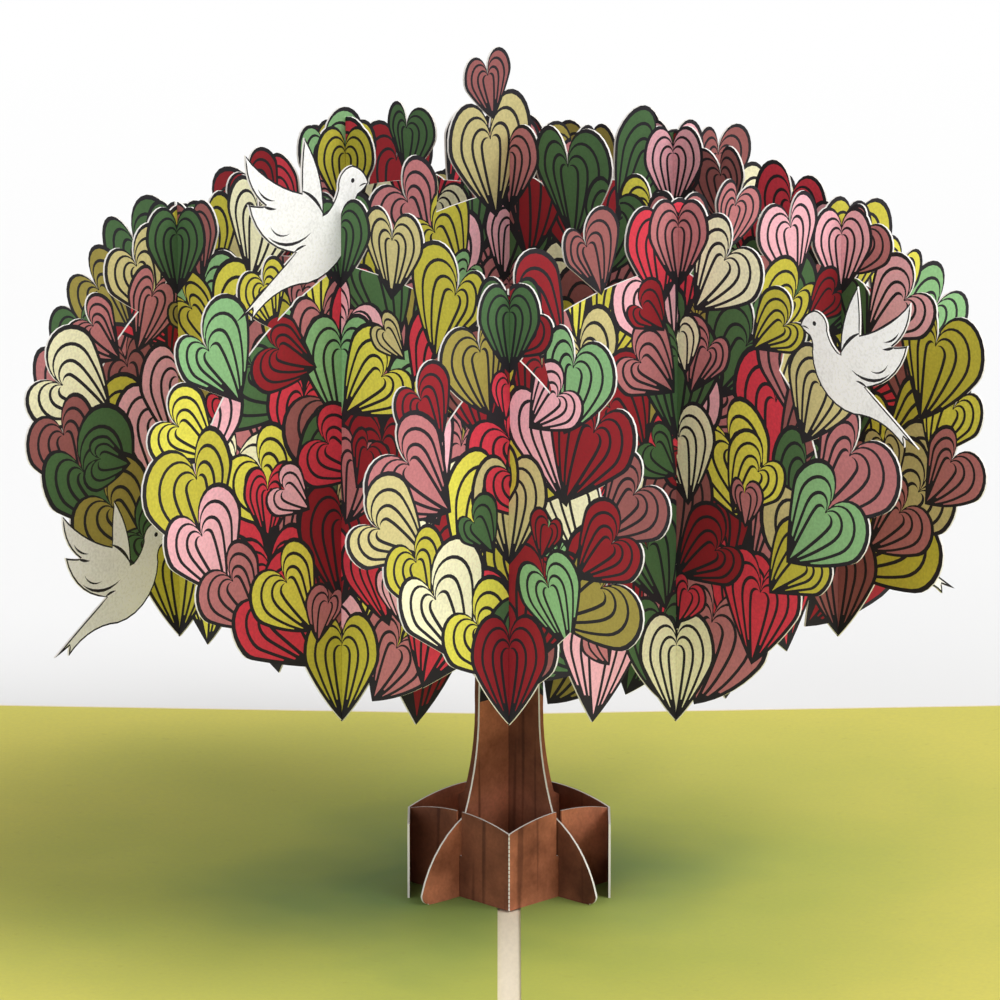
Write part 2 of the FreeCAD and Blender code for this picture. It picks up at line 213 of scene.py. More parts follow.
def arc_points(start, middle, end, pieces):
    """Points along the arc through three points, from the first up to before the last."""
    (ax, az), (bx, bz), (cx, cz) = start, middle, end
    spread = 2 * (ax * (bz - cz) + bx * (cz - az) + cx * (az - bz))
    if abs(spread) < TINY:
        return [(ax + (cx - ax) * i / pieces, az + (cz - az) * i / pieces) for i in range(pieces)]
    a, b, c = ax * ax + az * az, bx * bx + bz * bz, cx * cx + cz * cz
    x = (a * (bz - cz) + b * (cz - az) + c * (az - bz)) / spread
    z = (a * (cx - bx) + b * (ax - cx) + c * (bx - ax)) / spread
    first = math.atan2(az - z, ax - x)
    last = math.atan2(cz - z, cx - x)
    sweep = (last - first) % (2 * math.pi)
    if spread < 0:
        sweep -= 2 * math.pi
    radius = math.hypot(ax - x, az - z)
    turns = [first + sweep * i / pieces for i in range(pieces)]
    return [(x + radius * math.cos(turn), z + radius * math.sin(turn)) for turn in turns]


def arc_outline(points, pieces):
    """An outline through arcs given as end and middle points in turn, its end left off."""
    outline = []
    for i in range(0, len(points) - 2, 2):
        outline += arc_points(points[i], points[i + 1], points[i + 2], pieces)
    return outline


def lobe_curve(radius, pieces):
    """The right half of a heart of width one, from its tip to its cleft."""
    end = math.radians(LOBE_END_ANGLE)
    joint = (radius + radius * math.cos(end), CLEFT_HEIGHT + radius * math.sin(end))
    length = math.hypot(*joint)
    half_turn = math.asin((joint[0] * math.cos(end) + joint[1] * math.sin(end)) / length)
    bulge = length / 2 * math.tan(half_turn / 2)
    side = (joint[0] / 2 + bulge * joint[1] / length, joint[1] / 2 - bulge * joint[0] / length)
    curve = arc_points((0, 0), side, joint, pieces)
    steps = 2 * pieces
    for i in range(steps + 1):
        turn = end + (math.pi - end) * i / steps
        rise = max(math.sin(turn), 0) * LOBE_STRETCH * LOBE_RADIUS
        drop = min(math.sin(turn), 0) * radius
        curve.append((radius + radius * math.cos(turn), CLEFT_HEIGHT + rise + drop))
    return curve


def nested(curve, share):
    """A heart's half drawn in towards its axis, with its cleft a little lower."""
    drawn = []
    for x, z in curve:
        level = (1 - share) * z + share * min(z, CLEFT_HEIGHT)
        drawn.append(((1 - share) * x, level * (1 - CLEFT_DROP * share)))
    return drawn


def band(outer, inner, outer_gap, inner_gap):
    """The stretch between two nested curves, less the strokes along them."""
    near, far = [], []
    for (ax, az), (bx, bz) in zip(outer, inner):
        length = math.hypot(bx - ax, bz - az)
        if length < outer_gap + inner_gap + THINNEST_BAND:
            continue
        near.append((ax + (bx - ax) * outer_gap / length, az + (bz - az) * outer_gap / length))
        far.append((bx - (bx - ax) * inner_gap / length, bz - (bz - az) * inner_gap / length))
    return near + far[::-1]


def heart_layers(middle, width, lean, skew, colour):
    """The outline of a heart leaf, and its print as polygons with their inks."""
    small = width < SMALL_HEART
    shares = NEST_SHARES_SMALL if small else NEST_SHARES
    pieces = ARC_PIECES - 2 if small else ARC_PIECES
    edge = OUTLINE_STROKE + OUTLINE_GROWTH * width
    line = (INNER_STROKE + INNER_GROWTH * width) / 2
    lift = width * (CLEFT_HEIGHT + LOBE_RADIUS * LOBE_STRETCH) / 2
    outline, prints, cores = [], [], []
    for side in (1, -1):
        unit = lobe_curve(LOBE_RADIUS * (1 + side * skew), pieces)
        curves = []
        for share in shares:
            curve = nested(unit, share)
            curves.append([(side * width * x, width * z) for x, z in curve])
        for i in range(len(shares) - 1):
            gap = edge if i == 0 else line
            prints.append(band(curves[i], curves[i + 1], gap, line))
        core = [(x - side * line, z) for x, z in curves[-1] if side * x > line]
        cores.append(core)
        outline.append(curves[0])
    prints.append(cores[0] + cores[1][::-1])
    whole = outline[0] + outline[1][-2:0:-1]
    polygons = [(whole, "stroke")] + [(p, colour) for p in prints if len(p) > 2]
    placed = []
    for polygon, ink in polygons:
        placed.append(([turned((x, z - lift), lean, middle) for x, z in polygon], ink))
    return placed


def inset(outline, distance):
    """A closed outline drawn in by a distance."""
    area = sum(a[0] * b[1] - b[0] * a[1] for a, b in zip(outline, outline[1:] + outline[:1]))
    side = math.copysign(distance, area)
    drawn = []
    for i, point in enumerate(outline):
        before, after = outline[i - 1], outline[(i + 1) % len(outline)]
        run = Vector((after[0] - before[0], after[1] - before[1])).normalized()
        drawn.append((point[0] - run.y * side, point[1] + run.x * side))
    return drawn


def stroke_polygon(start, middle, end, width):
    """A pen stroke along an arc, thick in its middle and pointed at its ends."""
    line = arc_points(start, middle, end, ARC_PIECES) + [end]
    left, right = [], []
    for i, point in enumerate(line[1:-1], 1):
        run = Vector((line[i + 1][0] - line[i - 1][0], line[i + 1][1] - line[i - 1][1]))
        run = run.normalized() * width / 2 * math.sin(math.pi * i / (len(line) - 1))
        left.append((point[0] - run.y, point[1] + run.x))
        right.append((point[0] + run.y, point[1] - run.x))
    return [start] + left + [end] + right[::-1]


DOVE_STROKES = (
    ((0.66, 0.52), (0.60, 0.62), (0.48, 0.70), 0.5),
    ((0.24, 0.47), (0.37, 0.40), (0.57, 0.44), 0.45),
    ((0.26, 0.53), (0.31, 0.47), (0.41, 0.46), 0.25),
    ((0.20, 0.66), (0.26, 0.63), (0.31, 0.62), 0.4),
    ((0.17, 0.76), (0.22, 0.70), (0.30, 0.67), 0.3),
    ((0.43, 0.34), (0.47, 0.36), (0.53, 0.37), 0.35),
    ((0.10, 0.08), (0.18, 0.15), (0.25, 0.19), 0.3),
    ((0.99, 0.655), (0.955, 0.655), (0.925, 0.645), 0.22),
)
DOVE_EYE = (0.88, 0.69)


def dove_layers(middle, facing, size):
    """The outline of a dove, and its drawing as polygons with their inks."""
    def place(point):
        x = (point[0] - DOVE_MIDDLE) * DOVE_SPAN * size * facing
        return turned((x, (point[1] - DOVE_MIDDLE) * size), 0, middle)

    outline = [place(point) for point in arc_outline(DOVE_OUTLINE, ARC_PIECES)]
    layers = [(outline, "stroke"), (inset(outline, DOVE_STROKE), "dove")]
    for start, centre, end, width in DOVE_STROKES:
        layers.append((stroke_polygon(place(start), place(centre), place(end), width), "stroke"))
    eye = place(DOVE_EYE)
    turns = [2 * math.pi * i / ARC_PIECES for i in range(ARC_PIECES)]
    ring = [(eye[0] + EYE_RADIUS * math.cos(t), eye[1] + EYE_RADIUS * math.sin(t)) for t in turns]
    return layers + [(ring, "stroke")]


def canopy_reach(offset):
    """Half the width of the canopy's core on a slice this far from the axis."""
    return math.sqrt(CANOPY_RADIUS ** 2 - offset ** 2)


def core_point(offset, turn):
    """A point on the core's edge at a turn in radians, from its right end over the top."""
    reach = canopy_reach(offset)
    rise = DOME_RISE if math.sin(turn) > 0 else BOWL_DROP
    return (reach * math.cos(turn), CANOPY_HEIGHT + reach * rise / CANOPY_RADIUS * math.sin(turn))


def rim_point(offset, turn, step):
    """A place at a turn in radians round a slice's core, a step out from its edge."""
    x, z = core_point(offset, turn)
    return (x + step * math.cos(turn), z + step * math.sin(turn))


def core_outline(offset, step):
    """The core's edge on a slice, moved out by a step."""
    turns = [2 * math.pi * i / CORE_POINTS for i in range(CORE_POINTS)]
    return [rim_point(offset, turn, step) for turn in turns]


def inside(point, outline):
    """Whether a flat point is inside an outline that bulges everywhere."""
    x, z = point
    for (ax, az), (bx, bz) in zip(outline, outline[1:] + outline[:1]):
        if (bx - ax) * (z - az) < (bz - az) * (x - ax):
            return False
    return True


def crossing_heights(offset, along):
    """Bottom and top of the core where a slice crosses another."""
    share = math.sqrt(1 - (offset ** 2 + along ** 2) / CANOPY_RADIUS ** 2)
    return CANOPY_HEIGHT - BOWL_DROP * share, CANOPY_HEIGHT + DOME_RISE * share


def colour_of(index):
    """The ink of a scattered heart."""
    return HEART_INKS[int((index * COLOUR_STEP) % 1.0 * len(HEART_INKS))]


def rim_hearts(offset, family):
    """The hearts that stick out round a slice's core, as in the part, with their inks."""
    hearts = []
    for i in range(RIM_COUNT):
        turn = 2 * math.pi * (i + 0.5) / RIM_COUNT
        index = i + RIM_COUNT * family
        share = (math.sin(turn) + 1) / 2
        size = RIM_SIZE_LOW + (RIM_SIZE_HIGH - RIM_SIZE_LOW) * share
        growth = RIM_SIZE_SPREAD * scatter(index, SIZE_STEP)
        size += growth
        lean = RIM_LEAN * math.cos(turn) + RIM_LEAN_SPREAD * scatter(index, LEAN_STEP)
        step = RIM_STEP_OUT * size * scatter(index, REACH_STEP) - RIM_SMALL_OUT * growth
        if math.sin(turn) < 0:
            step -= RIM_TUCK
        middle = rim_point(offset, turn, step)
        skew = RIM_SKEW * scatter(index, REACH_STEP)
        hearts.append(heart_layers(middle, size, lean, skew, colour_of(index)))
    return hearts


def fill_hearts(offset, family, fill):
    """Printed hearts on a staggered, scattered grid inside a slice's core."""
    pitch, size, spread, lean_spread, limit = fill
    reach = canopy_reach(offset)
    hearts = []
    row_step = pitch * FILL_ROW
    index = int(FILL_FIRST_SHARE * pitch) + FILL_GROUP * family
    for row in range(-GRID_HALF, GRID_HALF + 1):
        for column in range(-GRID_HALF, GRID_HALF + 1):
            index += 1
            x = (column + row % 2 / 2 + FILL_JITTER * scatter(index, SIZE_STEP)) * pitch
            z = (row + FILL_JITTER * scatter(index, LEAN_STEP)) * row_step
            rise = (DOME_RISE if z > 0 else BOWL_DROP) * reach / CANOPY_RADIUS
            if math.hypot(x / reach, z / rise) > limit:
                continue
            width = size + spread * scatter(index, REACH_STEP)
            lean = FILL_LEAN * x / reach + lean_spread * scatter(index, ORDER_STEP)
            skew = RIM_SKEW * scatter(index, SIZE_STEP)
            layers = heart_layers((x, CANOPY_HEIGHT + z), width, lean, skew, colour_of(index))
            hearts.append((scatter(index, COLOUR_STEP * SIZE_STEP), index, layers))
    return [layers for _, _, layers in sorted(hearts)]


def crossings(angle, place):
    """Each crossing on a slice: its place along the slice, and a number that both share."""
    found = []
    for other in (-1, 0, 1):
        if angle > 0:
            found.append((-other * SLICE_SPACING, 3 * place + other))
        else:
            found.append((other * SLICE_SPACING, 3 * other + place))
    return found


def crossing_columns(angle, place):
    """Upright hearts up each crossing, the same on both slices that cross there."""
    hearts = []
    for along, number in crossings(angle, place):
        bottom, top = crossing_heights(place * SLICE_SPACING, along)
        count = int((top - bottom) / CROSSING_PITCH)
        for i in range(1, count):
            index = COLUMN_FIRST + COLUMN_GROUP * number + i
            level = i + COLUMN_SHIFT * scatter(index, LEAN_STEP)
            height = bottom + (top - bottom) * level / count
            width = CROSSING_SIZE + CROSSING_SPREAD * scatter(index, SIZE_STEP)
            hearts.append(heart_layers((along, height), width, 0, 0, colour_of(index)))
    return hearts


def crossing_ends(angle, place):
    """The upright hearts at the top and bottom of each crossing, as in the part."""
    hearts = []
    for along, number in crossings(angle, place):
        bottom, top = crossing_heights(place * SLICE_SPACING, along)
        index = END_FIRST + END_GROUP * number
        ends = ((top, CROSSING_TOP_SIZE, index), (bottom, CROSSING_BOTTOM_SIZE, index + END_BOTTOM))
        for height, width, shade in ends:
            hearts.append(heart_layers((along, height), width, 0, 0, colour_of(shade)))
    return hearts


def bulged(start, end, bulge):
    """The middle of an arc that bulges to the left of the way from start to end."""
    across = Vector((end[0] - start[0], end[1] - start[1]))
    side = Vector((-across.y, across.x)).normalized() * bulge
    return ((start[0] + end[0]) / 2 + side.x, (start[1] + end[1]) / 2 + side.y)


def trunk_half(side, waist):
    """One side of the trunk with its buttress, from the top down below the page."""
    corner = NOSE_ROUNDING * (1 - math.sqrt(0.5))
    nose_z = BUTTRESS_NOSE_HEIGHT
    top = (side * (waist - TRUNK_TOP_INSET), TRUNK_TOP_HEIGHT)
    neck = (side * waist, TRUNK_WAIST_HEIGHT)
    flare = (side * FLARE_REACH, FLARE_HEIGHT)
    nose = (side * BUTTRESS_REACH, nose_z)
    heel = (side * (BUTTRESS_REACH - NOSE_ROUNDING), nose_z - NOSE_ROUNDING)
    rounding = (side * (BUTTRESS_REACH - corner), nose_z - NOSE_ROUNDING + corner)
    outline = [top]
    outline += arc_points(neck, bulged(neck, flare, -side * FLARE_HOLLOW), flare, ARC_PIECES)
    outline += arc_points(flare, bulged(flare, nose, side * BUTTRESS_BELLY), nose, ARC_PIECES)
    outline += arc_points(nose, rounding, heel, ARC_PIECES)
    return outline + [heel, (heel[0], -PAGE_TOP)]


def trunk_outline(angle):
    """The trunk's outline, wider on the half that points away from the reader."""
    left = trunk_half(-1, TRUNK_WAIST_BACK if angle < 0 else TRUNK_WAIST_FRONT)
    right = trunk_half(1, TRUNK_WAIST_BACK if angle > 0 else TRUNK_WAIST_FRONT)
    return left + right[::-1]


def box_outline(low_x, high_x, low_z, high_z):
    """A rectangle on a slice."""
    return [(low_x, low_z), (high_x, low_z), (high_x, high_z), (low_x, high_z)]


def ground_outline():
    """What the open card takes away under a trunk slice, less the slice's two tabs."""
    slope = math.sin(math.radians(SLICE_ANGLE)) * math.tan(math.radians(PANEL_RISE))
    fold = HALF_SPINE / math.cos(math.radians(SLICE_ANGLE))
    inner = BUTTRESS_TAB_REACH - TAB_WIDTH / 2
    outer = BUTTRESS_TAB_REACH + TAB_WIDTH / 2
    half = [(fold, 0), (inner, 0), (inner, -PAGE_SHEET), (outer, -PAGE_SHEET), (outer, 0)]
    half.append((CANOPY_RADIUS, 0))
    right = [(x, z + slope * (x - fold)) for x, z in half]
    left = [(-x, z) for x, z in right[::-1]]
    return left + right + [(CANOPY_RADIUS, -BOWL_DROP), (-CANOPY_RADIUS, -BOWL_DROP)]


def slot_outlines(angle, place):
    """The slots of a slice, and for a trunk slice what the card takes away under it."""
    cuts = []
    half = SLOT_WIDTH / 2
    for along, _ in crossings(angle, place):
        middle = sum(crossing_heights(place * SLICE_SPACING, along)) / 2
        if place == 0 and along == 0:
            middle = TRUNK_SLOT_TOP
        low, high = (-BOWL_DROP, middle) if angle > 0 else (middle, 2 * CANOPY_HEIGHT)
        cuts.append(box_outline(along - half, along + half, low, high))
    if place == 0:
        for side in (-1, 1):
            front = (side < 0) == (angle > 0)
            reach = COLLAR_REACH if front else COLLAR_REACH + 2 * TREE_SHEET
            wall = side * reach * math.sqrt(0.5)
            low, high = COLLAR_SLOT_HEIGHT, COLLAR_HEIGHT + COLLAR_ARCH
            if front:
                low, high = -BOWL_DROP, COLLAR_SLOT_HEIGHT
            cuts.append(box_outline(wall - half, wall + half, low, high))
        cuts.append(ground_outline())
    return cuts


def anticlockwise(outline):
    """A closed outline as flat vectors that run anticlockwise."""
    area = sum(a[0] * b[1] - b[0] * a[1] for a, b in zip(outline, outline[1:] + outline[:1]))
    return [Vector(point) for point in (outline if area > 0 else outline[::-1])]


def extent(outline):
    """Low and high corner of a flat outline."""
    across, up = [point[0] for point in outline], [point[1] for point in outline]
    return min(across), min(up), max(across), max(up)


def add_face(corners, ink, mesh, found):
    """A flat triangle in a mesh, with each corner shared with any vertex that lies on it."""
    shared = []
    for corner in corners:
        x, z = round(corner[0] / WELD), round(corner[1] / WELD)
        near = ((x, z), (x - 1, z), (x + 1, z), (x, z - 1), (x, z + 1))
        spot = next((place for place in near if place in found), None)
        if spot is None:
            spot = (x, z)
            found[spot] = mesh.verts.new((corner[0], corner[1], 0))
        shared.append(found[spot])
    if len(set(shared)) == len(corners) and mesh.faces.get(shared) is None:
        mesh.faces.new(shared).material_index = ink


def merged(flat, triangles):
    """Flat triangles with their inks, joined where the ink is the same and parted anew."""
    mesh = bmesh.new()
    verts = [mesh.verts.new((point.x, point.y, 0)) for point in flat]
    for corners, ink in triangles:
        mesh.faces.new([verts[i] for i in corners]).material_index = ink
    mesh.normal_update()
    bmesh.ops.dissolve_limit(
        mesh, angle_limit=FLAT_ANGLE, use_dissolve_boundaries=False, verts=mesh.verts[:],
        edges=mesh.edges[:], delimit={"MATERIAL"}
    )
    bmesh.ops.triangulate(mesh, faces=mesh.faces[:])
    fewer = [([tuple(v.co.xy) for v in face.verts], face.material_index) for face in mesh.faces]
    mesh.free()
    return fewer


def flat_print(masks, cuts, prints, inks):
    """A flat mesh of the masks' outline less the cuts, parted along the prints' edges."""
    layers = [(anticlockwise(outline), "mask") for outline in masks]
    layers += [(anticlockwise(outline), "cut") for outline in cuts]
    layers += [(anticlockwise(outline), ink) for outline, ink in prints]
    layers = [(outline, kind, extent(outline)) for outline, kind in layers]
    boxes = [box for _, _, box in layers[:len(masks)]]
    low_x, low_z = min(box[0] for box in boxes), min(box[1] for box in boxes)
    high_x, high_z = max(box[2] for box in boxes), max(box[3] for box in boxes)
    mesh = bmesh.new()
    found = {}
    for column in range(math.floor(low_x / TILE), math.ceil(high_x / TILE)):
        for row in range(math.floor(low_z / TILE), math.ceil(high_z / TILE)):
            left, low = column * TILE, row * TILE
            tile = box_outline(left, left + TILE, low, low + TILE)
            points, faces, kinds = [], [], []
            for outline, kind, box in [(anticlockwise(tile), "tile", extent(tile))] + layers:
                if box[0] > left + TILE or box[2] < left:
                    continue
                if box[1] > low + TILE or box[3] < low:
                    continue
                faces.append(list(range(len(points), len(points) + len(outline))))
                points += outline
                kinds.append(kind)
            if len(faces) == 1:
                continue
            flat, _, triangles, _, _, owners = delaunay_2d_cdt(points, [], faces, 1, TINY, True)
            kept = []
            for triangle, owner in zip(triangles, owners):
                over = [kinds[i] for i in sorted(owner)]
                if "tile" in over and "mask" in over and "cut" not in over:
                    kept.append((triangle, inks.index(over[-1]) if over[-1] in inks else 0))
            for corners, ink in merged(flat, kept):
                add_face(corners, ink, mesh, found)
    return mesh


def sheet_mesh(name, angle, offset, masks, cuts, prints, materials):
    """A sheet with the masks' outline less the cuts, printed alike on both faces."""
    inks = list(materials)
    flat = flat_print(masks, cuts, prints, inks)
    turn = math.radians(angle)
    along = Vector((math.cos(turn), math.sin(turn), 0))
    out = Vector((math.sin(turn), -math.cos(turn), 0))
    up = Vector((0, 0, 1))
    flat.verts.index_update()
    verts = []
    for lift in (HALF_SHEET, -HALF_SHEET):
        for vert in flat.verts:
            x, z = vert.co.x, vert.co.y
            verts.append((along * x + out * (offset + lift) + up * (z + PAGE_TOP)) * MM)
    count = len(flat.verts)
    edge_slot = inks.index("edge")
    polygons, slots = [], []
    for face in flat.faces:
        a, b, c = [vert.index for vert in face.verts]
        polygons += [(a, b, c), (c + count, b + count, a + count)]
        slots += [face.material_index] * 2
        for loop in face.loops:
            if len(loop.edge.link_faces) == 1:
                i, j = loop.vert.index, loop.link_loop_next.vert.index
                polygons.append((i, i + count, j + count, j))
                slots.append(edge_slot)
    flat.free()
    mesh = bpy.data.meshes.new(name)
    mesh.from_pydata(verts, [], polygons)
    for ink in inks:
        mesh.materials.append(materials[ink])
    mesh.polygons.foreach_set("material_index", slots)
    mesh.update()
    piece = bpy.data.objects.new(name, mesh)
    bpy.context.scene.collection.objects.link(piece)
    return piece


def slice_prints(name):
    """Outlines and prints of one slice, in the order that they are printed."""
    angle, place = SLICES[name]
    offset = place * SLICE_SPACING
    family = list(SLICES).index(name)
    core = core_outline(offset, 0)
    masks = [core_outline(offset, -CORE_TRIM)]
    prints = []
    if place == 0:
        trunk = trunk_outline(angle)
        masks.append(trunk)
        prints.append((trunk, "bark"))
    prints.append((core, "stroke"))
    hearts = fill_hearts(offset, family, FILLS[0])
    edge = core_outline(offset, EDGE_REACH)
    whole = [layers[0][0] for layers in hearts if all(inside(p, edge) for p in layers[0][0])]
    rim = rim_hearts(offset, family)
    hearts += rim + crossing_columns(angle, place)
    hearts += fill_hearts(offset, family, FILLS[1])
    ends = crossing_ends(angle, place)
    hearts += ends + fill_hearts(offset, family, FILLS[2])
    crown = []
    for along, rise, size, lean in CROWN.get(name, []):
        middle = (along, core_point(offset, math.pi / 2)[1] + rise)
        crown.append(heart_layers(middle, size, lean, 0, CROWN_INKS[len(crown)]))
    hearts += crown
    doves = []
    for turn, step, facing, size in DOVES.get(name, []):
        doves.append(dove_layers(rim_point(offset, math.radians(turn), step), facing, size))
    masks += whole + [layers[0][0] for layers in rim + ends + crown + doves]
    for layers in hearts + doves:
        prints += layers
    return masks, prints


def linear(rgb):
    """A colour in bytes as a linear colour with full cover."""
    shares = [value / 255 for value in rgb]
    return [s / 12.92 if s < 0.04045 else ((s + 0.055) / 1.055) ** 2.4 for s in shares] + [1]


def new_material(name, roughness):
    """A material with its shader and object coordinates, ready for its own nodes."""
    material = bpy.data.materials.new(name)
    material.use_nodes = True
    nodes, links = material.node_tree.nodes, material.node_tree.links
    shader = nodes["Principled BSDF"]
    shader.inputs["Roughness"].default_value = roughness
    shader.inputs["Specular IOR Level"].default_value = 0.25
    place = nodes.new("ShaderNodeTexCoord").outputs["Object"]
    return material, nodes, links, shader, place


def noise(nodes, links, place, scale, detail=2.0):
    """A noise pattern over a place, with its size in patches a metre."""
    texture = nodes.new("ShaderNodeTexNoise")
    texture.inputs["Scale"].default_value = scale
    texture.inputs["Detail"].default_value = detail
    links.new(place, texture.inputs["Vector"])
    return texture.outputs["Fac"]


def ranged(nodes, links, value, low, high, new_low, new_high):
    """A value mapped from one range to another, and held inside it."""
    node = nodes.new("ShaderNodeMapRange")
    for socket, number in zip(("From Min", "From Max", "To Min", "To Max"),
                              (low, high, new_low, new_high)):
        node.inputs[socket].default_value = number
    links.new(value, node.inputs["Value"])
    return node.outputs["Result"]


def calculated(nodes, links, operation, first, second=None):
    """One step of arithmetic on a value, with a number or another value."""
    node = nodes.new("ShaderNodeMath")
    node.operation = operation
    for socket, value in zip(node.inputs, (first, second)):
        if value is None:
            continue
        if isinstance(value, (int, float)):
            socket.default_value = value
        else:
            links.new(value, socket)
    return node.outputs["Value"]


def mixed(nodes, links, kind, share, first, second):
    """Two colours mixed by a share, each a socket or a linear colour."""
    node = nodes.new("ShaderNodeMix")
    node.data_type = "RGBA"
    node.blend_type = kind
    for socket, value in ((node.inputs[0], share), (node.inputs[6], first),
                          (node.inputs[7], second)):
        if hasattr(value, "links"):
            links.new(value, socket)
        else:
            socket.default_value = value
    return node.outputs[2]


def add_bump(nodes, links, shader, height, strength, distance):
    """Bump on a shader from a height pattern."""
    bump = nodes.new("ShaderNodeBump")
    bump.inputs["Strength"].default_value = strength
    bump.inputs["Distance"].default_value = distance
    links.new(height, bump.inputs["Height"])
    links.new(bump.outputs["Normal"], shader.inputs["Normal"])


def grey(nodes, links, value):
    """A value as a grey colour."""
    node = nodes.new("ShaderNodeCombineColor")
    for socket in ("Red", "Green", "Blue"):
        links.new(value, node.inputs[socket])
    return node.outputs["Color"]


def ink_material(name, rgb, mottle):
    """Ink on uncoated paper: its colour with soft clouds and a fine grain."""
    material, nodes, links, shader, place = new_material(name, 0.78)
    clouds = noise(nodes, links, place, 130, 3)
    grain = noise(nodes, links, place, 2600, 2)
    level = ranged(nodes, links, clouds, 0.3, 0.7, 1 - mottle, 1 + mottle)
    fine = ranged(nodes, links, grain, 0.3, 0.7, 1 - 2 * mottle, 1 + 2 * mottle)
    both = calculated(nodes, links, "MULTIPLY", level, fine)
    colour = mixed(nodes, links, "MULTIPLY", 1.0, linear(rgb), grey(nodes, links, both))
    links.new(colour, shader.inputs["Base Color"])
    links.new(ranged(nodes, links, grain, 0.3, 0.7, 0.7, 0.86), shader.inputs["Roughness"])
    add_bump(nodes, links, shader, grain, 0.15, 0.00004)
    return material


def split(nodes, links, vector):
    """The three parts of a vector."""
    node = nodes.new("ShaderNodeSeparateXYZ")
    links.new(vector, node.inputs["Vector"])
    return node.outputs


BARK_LIGHT = (190, 118, 86)
BARK_DEEP = (104, 58, 38)
BARK_STREAK = (70, 34, 22)
# Painted shade and light on the bark and collar: the colour is darkened by the first share on faces
# that look left and lightened by the second on faces that look right
BARK_LEFT_PAINTED_SHADE = 0.5
BARK_RIGHT_PAINTED_LIGHT = 1.3
EDGE_WHITE = (240, 236, 230)
INK_MOTTLE = 0.05
EDGE_MOTTLE = 0.02

# The dashed line down the collar's front fold, in metres
FOLD_HALF_LINE = 0.0001
DASH_PITCH = 0.0006
DASH_LENGTH = 0.0005


def bark_print_and_painted_side_shade(nodes, links, place):
    """Cloudy brown bark with dark streaks up the trunk, with painted shade where a face looks left
    and painted light where it looks right.
    """
    clouds = ranged(nodes, links, noise(nodes, links, place, 110, 4), 0.35, 0.68, 0, 1)
    base = mixed(nodes, links, "MIX", clouds, linear(BARK_LIGHT), linear(BARK_DEEP))
    stretch = nodes.new("ShaderNodeMapping")
    stretch.inputs["Scale"].default_value = (1, 1, 0.035)
    links.new(place, stretch.inputs["Vector"])
    streak = noise(nodes, links, stretch.outputs["Vector"], 620, 1)
    share = ranged(nodes, links, streak, 0.64, 0.70, 0, 0.6)
    streaked = mixed(nodes, links, "MIX", share, base, linear(BARK_STREAK))
    grain = noise(nodes, links, place, 2200, 3)
    fine = ranged(nodes, links, grain, 0.3, 0.7, 0.9, 1.1)
    # Painted shade and light: darker where the face's normal looks left, lighter where it looks
    # right
    normal = split(nodes, links, nodes.new("ShaderNodeNewGeometry").outputs["Normal"])
    level = ranged(nodes, links, normal["X"], -0.3, 0.3, BARK_LEFT_PAINTED_SHADE, BARK_RIGHT_PAINTED_LIGHT)
    fine = calculated(nodes, links, "MULTIPLY", fine, level)
    return mixed(nodes, links, "MULTIPLY", 1.0, streaked, grey(nodes, links, fine)), grain


def bark_material():
    """The bark print on the trunk, with painted shade on faces that look left and painted light on
    faces that look right.
    """
    material, nodes, links, shader, place = new_material("bark", 0.72)
    colour, grain = bark_print_and_painted_side_shade(nodes, links, place)
    links.new(colour, shader.inputs["Base Color"])
    add_bump(nodes, links, shader, grain, 0.2, 0.00005)
    return material


def collar_material():
    """The bark print on the collar, with painted shade on faces that look left and painted light on
    faces that look right, white paper at its cut edges and dashed folds.
    """
    material, nodes, links, shader, place = new_material("collar_bark", 0.72)
    colour, grain = bark_print_and_painted_side_shade(nodes, links, place)
    facing = split(nodes, links, nodes.new("ShaderNodeNewGeometry").outputs["Normal"])
    spot = split(nodes, links, place)
    top = calculated(nodes, links, "GREATER_THAN", facing["Z"], 0.7)
    side = calculated(nodes, links, "ABSOLUTE", facing["Y"])
    end = calculated(nodes, links, "GREATER_THAN", side, 0.9)
    across = calculated(nodes, links, "ABSOLUTE", spot["X"])
    fold = calculated(nodes, links, "LESS_THAN", across, FOLD_HALF_LINE)
    dash = calculated(nodes, links, "MODULO", spot["Z"], DASH_PITCH)
    dash = calculated(nodes, links, "LESS_THAN", dash, DASH_LENGTH)
    fold = calculated(nodes, links, "MULTIPLY", fold, dash)
    white = calculated(nodes, links, "MAXIMUM", top, end)
    white = calculated(nodes, links, "MAXIMUM", white, fold)
    bare = mixed(nodes, links, "MIX", white, colour, linear(EDGE_WHITE))
    links.new(bare, shader.inputs["Base Color"])
    add_bump(nodes, links, shader, grain, 0.2, 0.00005)
    return material


# The deep green near the tree is partly print and partly painted shade from the tree
PAGE_NEAR_GREEN_AND_SHADE = (122, 146, 78)
PAGE_MIDDLE = (178, 184, 86)
PAGE_FAR = (212, 204, 98)
PAGE_FLECK = (150, 140, 60)
COVER_CREAM = (240, 227, 203)

# The middle of the page's green and painted shade, a little left of the tree where its shadow
# falls, and where its two fades start and end, in metres
PAGE_MIDDLE_LEFT = 0.005
PAGE_MIDDLE_FRONT = 0.002
NEAR_FADE = (0.014, 0.044)
FAR_FADE = (0.045, 0.095)


